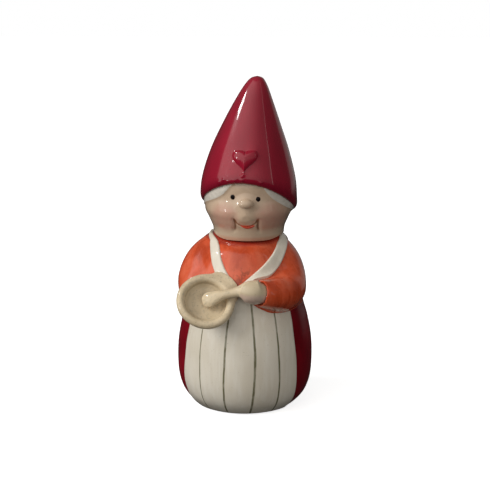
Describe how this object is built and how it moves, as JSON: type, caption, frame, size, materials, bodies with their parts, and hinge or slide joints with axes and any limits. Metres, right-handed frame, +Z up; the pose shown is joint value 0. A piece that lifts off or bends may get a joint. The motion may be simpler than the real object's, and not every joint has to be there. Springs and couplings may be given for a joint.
{
  "type": "gnome figurine",
  "caption": "Glazed ceramic grandmother gnome with a tall cone hat, striped apron, dish and spoon, standing on a flat foot ring.",
  "frame": {"origin": "middle of the figure's base box, on the plane of the foot ring; the turning axis stands 4.8 mm behind it", "axes": "+Z up through the hat, the figure faces -Y, its left hand (with the spoon) is on +X"},
  "size_m": [0.0616, 0.0711, 0.15],
  "materials": {
    "skirt_glaze": "glossy dark burgundy glaze",
    "blouse_glaze": "glossy orange-red glaze with brush marks",
    "apron_glaze": "warm white glaze with painted olive-grey stripes",
    "skin_glaze": "clear gloss over beige slip with rosy cheeks",
    "hair_glaze": "glossy off-white glaze",
    "dish_glaze": "speckled cream-beige glaze",
    "hat_glaze": "high-gloss crimson glaze"
  },
  "bodies": {
    "root": {"skirt_shell": "skirt_glaze", "blouse_shell": "blouse_glaze", "apron": "apron_glaze", "apron_strap_left": "apron_glaze", "apron_strap_right": "apron_glaze", "apron_tie": "apron_glaze", "sleeve_left": "blouse_glaze", "sleeve_right": "blouse_glaze", "hand_left": "skin_glaze", "hand_right": "skin_glaze", "dish": "dish_glaze", "spoon": "dish_glaze", "head_shell": "skin_glaze", "nose": "skin_glaze", "hair": "hair_glaze", "hat_shell": "hat_glaze", "hat_heart": "hat_glaze"}
  },
  "joints": []
}
